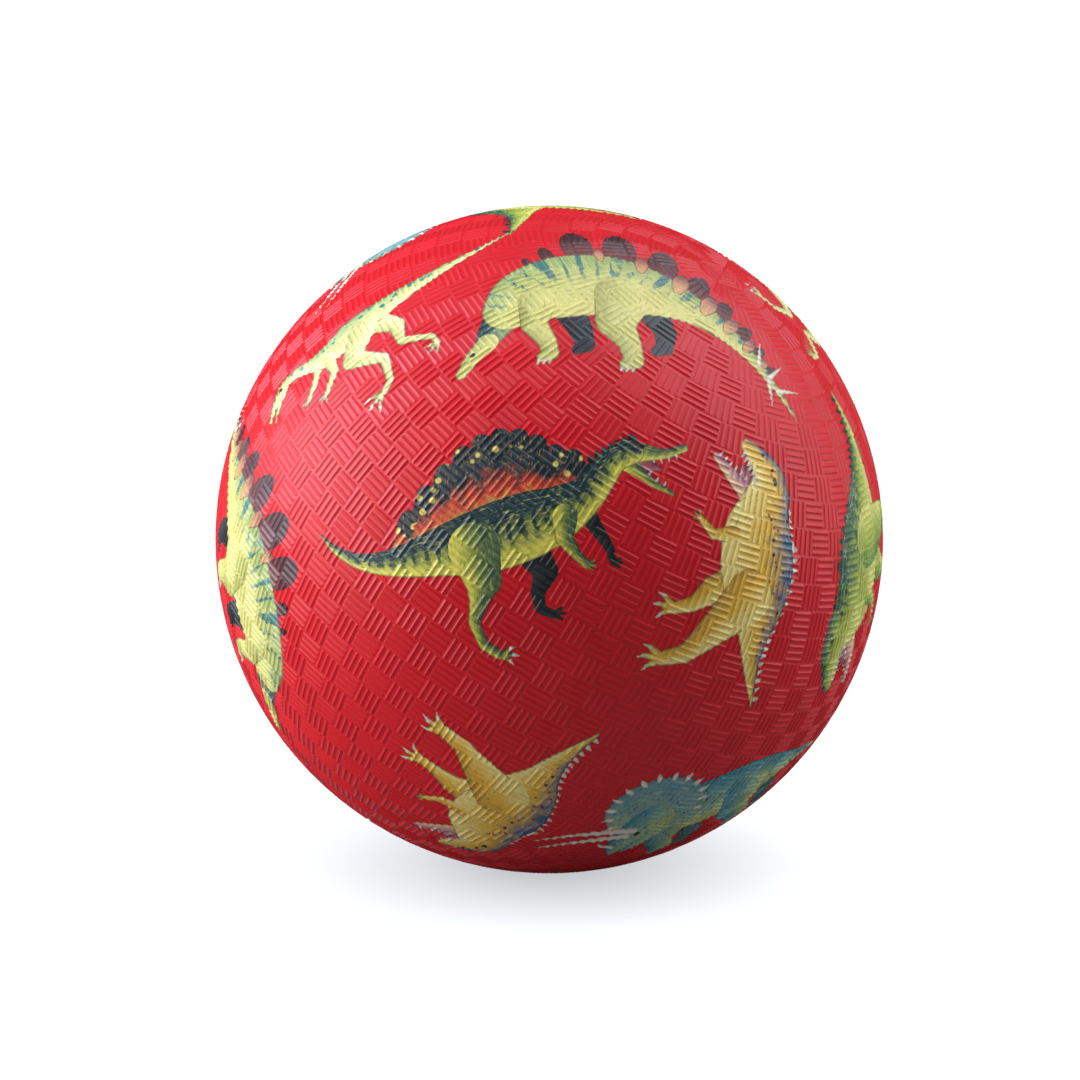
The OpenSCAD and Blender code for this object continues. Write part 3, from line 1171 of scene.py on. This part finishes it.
@dataclass(frozen=True)
class Hunter(Figure):
    """Big-headed two-legged hunter with small arms and a ridged back."""

    hide: TransferInk = HUNTER_BODY
    limb_hide: TransferInk = HUNTER_LIMB
    ridge_scales: int = 24
    # How far forward the feet stand
    stride: float = 0.0
    ridge: TransferInk = BONE

    def regions(self) -> list[Region]:
        """The inked regions of the figure."""
        trunk = brush(
            (-37, -1.2, 0.3), (-29, -2.6, 1.7), (-22, -3.0, 3.2), (-15, -2.0, 5.4), (-8, -0.8, 8.8),
            (0, 0.2, 11.6), (7, 1.2, 11.2), (12.5, 4.0, 8.8), (17.4, 7.2, 6.8)
        )
        snout = brush((17, 8.8, 5.8), (22, 9.4, 4.9), (27, 7.6, 3.5), (31.2, 5.4, 2.1))
        jaw = brush((16.4, 3.2, 3.6), (21, 0.0, 2.5), (26, -2.8, 1.9), (30.8, -5.2, 1.1))
        scales = []
        for number in range(self.ridge_scales):
            edge, out = trunk.edge_at(0.03 + 0.95 * number / (self.ridge_scales - 1))
            scales.append(leaf(edge - out * 0.6, edge + out * 1.7, 0.7, 0.3))
        teeth = []
        for row, side, count, width, tall in ((snout, -1.0, 7, 0.5, 1.5), (jaw, 1.0, 6, 0.42, 1.2)):
            for share in np.linspace(0.42, 0.97, count):
                edge, out = row.edge_at(share, side)
                teeth.append(spike(edge, edge + out * tall, width))
        step = self.stride
        near_foot, far_foot = (-7.2 + step, -29.0), (5.6 + step, -25.0)
        near_leg = limb(
            (-3 + 0.3 * step, -4, 7.4), (-6 + 0.6 * step, -14.6, 4.7), (-8 + 0.9 * step, -22.6, 2.7),
            (*near_foot, 2.1)
        )
        far_leg = limb(
            (1 + 0.3 * step, -6, 6.6), (4.2 + 0.6 * step, -14, 3.8), (4.6 + 0.9 * step, -20, 2.1),
            (*far_foot, 1.7)
        )
        near_arm = limb((10.6, -6, 2.4), (12.0, -11.6, 1.4), (16.2, -14.2, 0.95))
        return [
            Region(EYE, (limb((20.4, 10.8, 0.8), (21.1, 10.7, 0.65)),)),
            Region(BONE, (*teeth, *self.claws(near_foot, 5.2, -76.0), *self.claws(far_foot, 4.8, -70.0))),
            Region(self.limb_hide, (near_leg, *self.toes(near_foot, 5.2, 1.4, -76.0))),
            Region(self.limb_hide, (near_arm, *self.toes((16.2, -14.2), 2.8, 0.55, -35.0))),
            Region(self.hide, (trunk, snout)),
            Region(HUNTER_JAW, (jaw,)),
            Region(MOUTH, (brush((17, 4.8, 3.6), (21.6, 3.6, 2.9), (25.4, 1.8, 1.7)),)),
            Region(self.limb_hide, (far_leg, *self.toes(far_foot, 4.8, 1.2, -70.0))),
            Region(self.ridge, tuple(scales))
        ]


@dataclass(frozen=True)
class Horned(Figure):
    """Stocky grazer with a studded frill and long brow horns."""

    hide: TransferInk = HORNED_BODY
    limb_hide: TransferInk = HORNED_LIMB
    studs: int = 13

    def regions(self) -> list[Region]:
        """The inked regions of the figure."""
        trunk = brush(
            (-40, -6, 0.4), (-31, -1.2, 2.6), (-21, 2.0, 6.2), (-10, 3.0, 10.0), (2, 2.6, 10.8),
            (12, 3.0, 9.4)
        )
        middle = np.array([15.0, 7.0])
        frill = brush((11.0, 5.0, 10.6), (15.0, 7.6, 12.4), (18.0, 7.4, 11.2))
        studs = []
        for number in range(self.studs):
            angle = math.radians(-28 + 230 * number / (self.studs - 1))
            out = np.array([math.cos(angle), math.sin(angle)])
            studs.append(leaf(middle + out * 12.0, middle + out * 14.6, 0.85, 0.3))
        head = brush((16, 2.0, 6.4), (19.6, -3.6, 5.4), (22.4, -10.0, 3.6), (23.6, -15.6, 1.5))
        jaw = limb((15.4, -5, 3.4), (18.4, -11.2, 2.1), (20.6, -15.0, 0.9))
        horns = (
            brush((20.4, -2.0, 1.5), (28, -1.4, 1.2), (37, -2.6, 0.7), (46, -6.6, 0.15)),
            brush((22.0, -4.8, 1.4), (29.4, -5.2, 1.1), (37.6, -7.4, 0.6), (45, -11.6, 0.15)),
            brush((24.6, -11.0, 1.1), (27.0, -10.4, 0.8), (28.6, -8.2, 0.2))
        )
        near_fore = limb((9.6, -4, 5.8), (11.4, -12, 4.1), (8.8, -18.6, 3.2), (10.6, -21.6, 2.3))
        near_hind = limb((-12.6, -1, 7.6), (-10.4, -10, 5.2), (-14.6, -17, 3.5), (-12.6, -20.8, 2.4))
        far_fore = limb((4, -5, 4.6), (2.2, -12.8, 3.2), (3.6, -18.4, 2.4))
        far_hind = limb((-18.6, -2, 5.4), (-21.2, -11, 3.4), (-20.0, -17.4, 2.4))
        return [
            Region(EYE, (limb((18.6, -4.2, 0.8), (19.1, -4.6, 0.65)),)),
            Region(BONE, (*horns, *studs)),
            Region(self.limb_hide, (head, jaw)),
            Region(HORNED_FRILL, (frill,)),
            Region(self.limb_hide, (near_fore,)),
            Region(self.limb_hide, (near_hind,)),
            Region(self.hide, (trunk,)),
            Region(HORNED_FAR, (far_fore, far_hind))
        ]


@dataclass(frozen=True)
class Placement:
    """Where a figure is printed: the heading is that of its nose, counted from east towards north."""

    name: str
    figure: Figure
    azimuth_deg: float
    elevation_deg: float
    heading_deg: float
    mirrored: bool = False
    scale: float = 1.0

    @property
    def middle(self) -> np.ndarray:
        """Unit vector from the ball's centre to the figure's middle."""
        return np.array(direction(self.azimuth_deg, self.elevation_deg))


GREEN_HUNTER = Hunter(GREEN_HUNTER_BODY, GREEN_HUNTER_LIMB, ridge=FAR_LIMB)

PLACEMENTS = (
    Placement("sail_back_front", SailBack(), 13.4, 13.5, 1.0),
    Placement("plate_back_top", PlateBack(), 33.7, 57.6, 174.7, True),
    Placement("runner_front", Runner(), -31.0, 44.6, 241.3, True, 1.02),
    Placement("hunter_right", Hunter(stride=-10.0), 58.6, 4.5, 94.8, True),
    Placement("hunter_low", Hunter(), 12.6, -39.0, 221.1, False, 0.98),
    Placement("horned_low", Horned(), 60.5, -42.5, 199.0, True, 1.0),
    Placement("green_hunter_right", GREEN_HUNTER, 89.0, 3.0, 262.0, True, 1.15),
    Placement("plate_back_left", PlateBack(), -40.0, -2.9, 295.9, False),
    Placement("horned_top", Horned(), -98.0, 57.0, 8.0, False, 0.95),
    Placement("green_hunter_top", GREEN_HUNTER, -124.4, 78.8, 232.7, False),
    Placement("runner_right", Runner(), 122.0, 42.0, 58.5, True, 1.1),
    Placement("horned_back", Horned(), 145.0, -13.0, 15.0, False),
    Placement("hunter_back", Hunter(), 168.0, 33.0, 22.0, False, 0.85),
    Placement("plate_back_back", PlateBack(), 213.0, 1.0, 82.0, True, 0.95),
    Placement("sail_back_left", SailBack(), 259.0, -10.0, 12.0, False, 0.95),
    Placement("runner_back", Runner(), 233.0, 33.0, 184.0, True),
    Placement("hunter_low_back", Hunter(), 178.0, -50.0, 352.0, False),
    Placement("green_hunter_left", GREEN_HUNTER, 264.0, -52.0, 190.0, True),
    Placement("hunter_bottom", Hunter(), 100.0, -80.0, 120.0, True)
)


def split_triangles(soup: np.ndarray, value: np.ndarray) -> tuple[np.ndarray, np.ndarray]:
    """Cut triangles where a value passes through zero.

    Args:
        soup: Triangles with numbers at their corners, (n, 3, m).
        value: Value at each corner, (n, 3).

    Returns:
        The triangles where the value is below zero, and the rest.
    """
    below = value < 0
    count = below.sum(1)
    inside, outside = [soup[count == 3]], [soup[count == 0]]
    for lone_below in (True, False):
        rows = count == (1 if lone_below else 2)
        first = (below[rows] == lone_below).argmax(1)
        order = (first[:, None] + np.arange(3)) % 3
        corners = np.take_along_axis(soup[rows], order[..., None], 1)
        at = np.take_along_axis(value[rows], order, 1)
        a, b, c = corners[:, 0], corners[:, 1], corners[:, 2]
        ab = a + (b - a) * (at[:, 0] / (at[:, 0] - at[:, 1]))[:, None]
        ac = a + (c - a) * (at[:, 0] / (at[:, 0] - at[:, 2]))[:, None]
        tip = np.stack([a, ab, ac], 1)
        rest = np.concatenate([np.stack([ab, b, c], 1), np.stack([ab, c, ac], 1)])
        inside.append(tip if lone_below else rest)
        outside.append(rest if lone_below else tip)
    return np.concatenate(inside), np.concatenate(outside)


def refine(soup: np.ndarray, longest_edge: float) -> np.ndarray:
    """Halve triangles across their longest edges until none is longer than the limit."""
    done = []
    while len(soup):
        edges = np.linalg.norm(np.roll(soup[..., :3], -1, 1) - soup[..., :3], axis=2)
        long = edges.max(1) > longest_edge
        done.append(soup[~long])
        order = (edges[long].argmax(1)[:, None] + np.arange(3)) % 3
        a, b, c = np.moveaxis(np.take_along_axis(soup[long], order[..., None], 1), 1, 0)
        middle = (a + b) / 2
        soup = np.concatenate([np.stack([a, middle, c], 1), np.stack([middle, b, c], 1)])
    return np.concatenate(done)


@dataclass
class Prints:
    """Thin films of ink that lie on the ribs and in the valleys between them."""

    skin: np.ndarray
    radius: float
    lift: float = 0.03 * MM
    coarse: float = 1.6 * MM
    fine: float = 0.75 * MM
    # Longest edge of the skin's triangles
    widest: float = 9.0 * MM
    # No figure reaches further than this from its middle
    spread_deg: float = 46.0
    # Corners closer than this are one vertex
    weld: float = 0.001 * MM
    nudge_mm: float = 1e-6
    materials: dict[str, bpy.types.Material] = field(default_factory=dict)

    def flatten(self, placement: Placement, points: np.ndarray) -> np.ndarray:
        """Turn places on the ball into millimetres of a figure, keeping distances from its middle."""
        turn = math.radians(placement.azimuth_deg)
        middle = placement.middle
        east = np.array([math.cos(turn), math.sin(turn), 0.0])
        north = np.cross(middle, east)
        heading = math.radians(placement.heading_deg)
        ahead = math.cos(heading) * east + math.sin(heading) * north
        aside = np.cross(middle, ahead) * (-1 if placement.mirrored else 1)
        unit = points / np.linalg.norm(points, axis=-1, keepdims=True)
        sideways = np.stack([unit @ ahead, unit @ aside], -1)
        size = np.linalg.norm(sideways, axis=-1, keepdims=True)
        angle = np.arctan2(size, (unit @ middle)[..., None])
        return sideways / np.maximum(size, 1e-12) * angle * self.radius / MM / placement.scale

    def patch_under(self, placement: Placement, regions: list[Region]) -> np.ndarray:
        """Take the skin's triangles under a figure, and refine them near its outlines.

        Args:
            placement: Where the figure goes.
            regions: Its regions.

        Returns:
            Triangles with place, normal and figure coordinates at their corners, (n, 3, 8).
        """
        limit = self.radius * math.cos(math.radians(self.spread_deg))
        soup = self.skin[self.skin[:, 0, :3] @ placement.middle > limit]
        strokes = [stroke for region in regions for stroke in region.strokes]
        low = np.min([stroke.box[0] for stroke in strokes], 0)
        high = np.max([stroke.box[1] for stroke in strokes], 0)
        flat = self.flatten(placement, soup[:, 0, :3])
        spare = self.widest / MM / placement.scale
        soup = soup[((flat > low - spare) & (flat < high + spare)).all(1)]
        for edge in (self.coarse, self.fine):
            flat = self.flatten(placement, soup[..., :3].mean(1))
            reach = np.linalg.norm(soup[..., :3] - soup[..., :3].mean(1, keepdims=True), axis=2).max(1)
            reach = reach / MM / placement.scale
            outside = np.stack([region.measure(flat)[:, 0] for region in regions])
            wanted = outside.min(0) < reach
            crossed = (np.abs(outside) < reach).any(0)
            if edge == self.coarse:
                soup = refine(soup[wanted], edge)
            else:
                soup = np.concatenate([soup[wanted & ~crossed], refine(soup[wanted & crossed], edge)])
        lifted = soup[..., :3] + soup[..., 3:6] * self.lift
        return np.concatenate([lifted, soup[..., 3:6], self.flatten(placement, lifted)], 2)

    def film(self, placement: Placement) -> None:
        """Print one figure.

        Args:
            placement: The figure and where it goes.
        """
        regions = placement.figure.regions()
        soup = self.patch_under(placement, regions)
        points, faces, flow, place, slots = [], [], [], [], []
        inks: list[str] = []
        total = 0
        for region in regions:
            value = region.measure(soup[..., 6:].reshape(-1, 2))[:, 0].reshape(-1, 3)
            # Corners that lie right on an outline move just outside it
            value[np.abs(value) < self.nudge_mm] = self.nudge_mm
            inked, soup = split_triangles(soup, value)
            if not len(inked):
                continue
            corners = inked.reshape(-1, 8)
            cells = np.round(corners[:, :3] / self.weld).astype(np.int64)
            _, first, number = np.unique(cells, axis=0, return_index=True, return_inverse=True)
            number = number.reshape(-1, 3)
            sound = (number != np.roll(number, 1, axis=1)).all(1)
            kept = corners[first]
            found = region.measure(kept[:, 6:])
            points.append(kept)
            faces.append(number[sound] + total)
            flow.append(np.stack([found[:, 1], found[:, 2], -found[:, 0]], 1))
            place.append(np.column_stack([kept[:, 6:], found[:, 3]]))
            if region.ink.name not in inks:
                inks.append(region.ink.name)
                if region.ink.name not in self.materials:
                    self.materials[region.ink.name] = region.ink.build()
            slots.append(np.full(int(sound.sum()), inks.index(region.ink.name)))
            total += len(kept)
        everything = np.concatenate(points)
        mesh = make_mesh(f"print_{placement.name}", everything[:, :3], np.concatenate(faces))
        for ink in inks:
            mesh.materials.append(self.materials[ink])
        mesh.polygons.foreach_set("material_index", np.concatenate(slots).astype(np.int32))
        for name, values in (("ink_flow", flow), ("ink_place", place)):
            layer = mesh.attributes.new(name, "FLOAT_VECTOR", "POINT")
            layer.data.foreach_set("vector", np.concatenate(values).astype(np.float32).ravel())
        self.map_for_bake(mesh, everything[:, 6:])
        mesh.normals_split_custom_set_from_vertices(everything[:, 3:6].astype(np.float32))
        place_piece(mesh.name, mesh, "cover")

    def map_for_bake(self, mesh: bpy.types.Mesh, flat: np.ndarray) -> None:
        """Use the figure's own plane as the film's flat map."""
        low, high = flat.min(0), flat.max(0)
        margin = 0.02
        share = margin + (1 - 2 * margin) * (flat - low) / (high - low).max()
        write_map(mesh, share[corner_vertices(mesh)])

    def build(self) -> None:
        """Print every figure."""
        for placement in PLACEMENTS:
            self.film(placement)


# The inner layers ------------------------


@dataclass
class InnerLayers:
    """Winding, bladder and valve: CAD nodes that keep their shape and get their materials."""

    finishes: dict[str, MouldedRubber | WoundNylon] = field(
        default_factory=lambda: {
            "winding": WINDING_NYLON, "bladder": BLADDER_RUBBER, "valve_patch": PATCH_RUBBER,
            "valve_housing": HOUSING_RUBBER, "valve_insert": INSERT_RUBBER
        }
    )

    def dress(self) -> None:
        """Give each node its material."""
        for name, finish in self.finishes.items():
            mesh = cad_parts[name].data
            mesh.materials.clear()
            mesh.materials.append(finish.build())
            log.info("%s: dressed in %s", name, finish.name)


# The studio ------------------------------


@dataclass
class SoftBox:
    """A square area lamp that looks at the ball."""

    name: str
    azimuth_deg: float
    elevation_deg: float
    distance: float
    size: float
    watts: float
    colour: str = "#FFFFFF"

    def build(self) -> None:
        """Place the lamp."""
        lamp = bpy.data.lights.new(self.name, "AREA")
        lamp.size = self.size
        lamp.energy = self.watts
        lamp.color = linear(self.colour)[:3]
        holder = add_object(self.name, lamp)
        place = direction(self.azimuth_deg, self.elevation_deg) * self.distance
        holder.matrix_world = aimed(place, Vector((0, 0, 0)))
        holder.visible_camera = False


@dataclass
class Studio:
    """Camera, pale floor, white surround and soft boxes."""

    ball_radius: float
    azimuth_deg: float = 22.2
    elevation_deg: float = 12.0
    lens_mm: float = 150.0
    sensor_mm: float = 36.0
    # Share of the picture's width that the ball takes up, and how far it sits off the middle
    ball_share: float = 0.6185
    right_offset: float = 2.45 * MM
    up_offset: float = 0.13 * MM
    floor_size: float = 8.0

    def camera(self) -> None:
        """Place the camera, so that the ball fills its share of the picture."""
        lens = bpy.data.cameras.new("camera")
        lens.lens = self.lens_mm
        lens.sensor_width = self.sensor_mm
        spread = math.atan(self.ball_share * self.sensor_mm / 2 / self.lens_mm)
        away = direction(self.azimuth_deg, self.elevation_deg)
        right = Vector((0, 0, 1)).cross(away).normalized()
        up = away.cross(right)
        target = -right * self.right_offset - up * self.up_offset
        holder = add_object("camera", lens)
        holder.matrix_world = aimed(target + away * (self.ball_radius / math.sin(spread)), target)
        bpy.context.scene.camera = holder

    def floor(self) -> None:
        """Make the floor. To the camera it looks lit from below, with a painted shadow that dims its glow
        near the ball. To the ball it is dull.
        """
        half = self.floor_size / 2
        corners = np.array([[-1, -1, 0], [1, -1, 0], [1, 1, 0], [-1, 1, 0]]) * half
        corners[:, 2] = -self.ball_radius
        mesh = make_mesh("floor", corners, np.array([[0, 1, 2, 3]]))
        holder = add_object("floor", mesh)
        material, tree, _ = new_material("white_sweep_with_painted_shadow")
        tree.nodes.clear()
        seen = node(tree, "LightPath").outputs["Is Camera Ray"]
        white = node(tree, "BsdfDiffuse", {"Color": linear("#606264")})
        place = node(tree, "TexCoord").outputs["Object"]
        level = node(tree, "VectorMath", {0: place, 1: (1.0, 1.0, 0.0)}, operation="MULTIPLY")
        away = node(tree, "VectorMath", {0: level}, operation="LENGTH").outputs["Value"]
        # Metres from under the ball, and how brightly the floor glows there: the dimmer glow near the ball
        # is a painted shadow
        limits = {"From Min": 0.005, "From Max": 0.08, "To Min": 0.57, "To Max": 1.17}
        level = node(tree, "MapRange", {"Value": away} | limits)
        # Emission of the floor's white, dimmed under the ball into a painted contact shadow
        glow_with_painted_shadow = node(tree, "Emission", {"Color": linear("#EEF1F4"), "Strength": level})
        bright = node(tree, "AddShader", {0: white, 1: glow_with_painted_shadow})
        dull = node(tree, "BsdfDiffuse", {"Color": linear("#8A8886")})
        both = node(tree, "MixShader", {0: seen, 1: dull, 2: bright})
        node(tree, "OutputMaterial", {"Surface": both})
        mesh.materials.append(material)

    def surround(self) -> None:
        """Light everything softly, and show white behind the ball."""
        world = bpy.data.worlds.new("surround")
        world.use_nodes = True
        tree = world.node_tree
        tree.nodes.clear()
        seen = node(tree, "LightPath").outputs["Is Camera Ray"]
        fill = node(tree, "Background", {"Color": (1, 1, 1, 1), "Strength": 0.07})
        shown = node(tree, "Background", {"Color": (1, 1, 1, 1), "Strength": 1.2})
        both = node(tree, "MixShader", {0: seen, 1: fill, 2: shown})
        node(tree, "OutputWorld", {"Surface": both})
        bpy.context.scene.world = world

    def build(self) -> None:
        """Set up the whole studio."""
        bpy.context.scene.view_settings.view_transform = "Standard"
        self.camera()
        self.floor()
        self.surround()
        boxes = (
            SoftBox("sheen_box", -76.0, 22.0, 1.2, 0.7, 10.5, "#DFE6FF"),
            SoftBox("key_box", -52.0, 14.0, 1.2, 1.2, 17.5, "#FFFFFF"),
            SoftBox("sky_box", -70.0, 62.0, 1.3, 0.9, 5.0, "#D6E0FF"),
            SoftBox("top_box", 122.0, 57.0, 1.3, 1.3, 17.5, "#F2F4FF"),
            SoftBox("rim_box", 116.0, 6.0, 1.3, 1.1, 9.0, "#FFFFFF")
        )
        for box in boxes:
            box.build()


def main() -> None:
    """Build the studio and the ball, in order."""
    logging.basicConfig(level=logging.INFO, format="%(name)s: %(message)s")
    lowest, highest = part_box("cover")
    ball_radius = (highest.z - lowest.z) / 2
    winding_low, winding_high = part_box("winding")
    Studio(ball_radius).build()
    InnerLayers().dress()
    cover = Cover(rib_top=ball_radius, inside=(winding_high.z - winding_low.z) / 2)
    cover.build()
    Prints(cover.skin, cover.ground).build()


if __name__ == "__main__":
    main()
